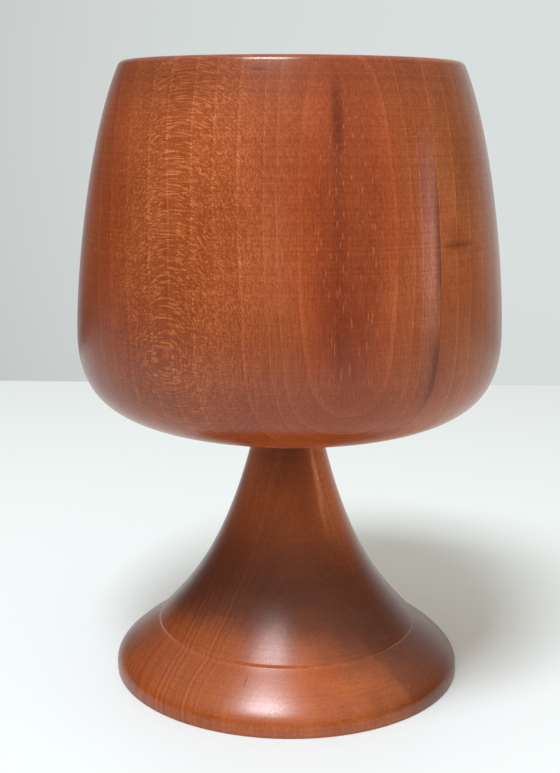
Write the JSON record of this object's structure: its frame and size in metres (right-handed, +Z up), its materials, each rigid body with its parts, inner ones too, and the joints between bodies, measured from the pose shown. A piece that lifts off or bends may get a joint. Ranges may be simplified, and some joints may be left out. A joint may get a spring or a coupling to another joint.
{
  "type": "communion chalice",
  "caption": "Turned wooden communion chalice: a deep incurved bowl on a flared one-piece stem and foot, joined by a glued tenon.",
  "frame": {"origin": "centre of the foot, on the plane it stands on", "axes": "+Z up along the turning axis, from the foot to the mouth; X and Y are any two level directions, because the form is round"},
  "size_m": [0.1232, 0.1232, 0.18],
  "materials": {
    "bowl_wood": "satin oil and wax on reddish fruitwood",
    "stem_wood": "satin oil and wax on reddish fruitwood"
  },
  "bodies": {
    "root": {"bowl": "bowl_wood", "stem_foot": "stem_wood"}
  },
  "joints": []
}
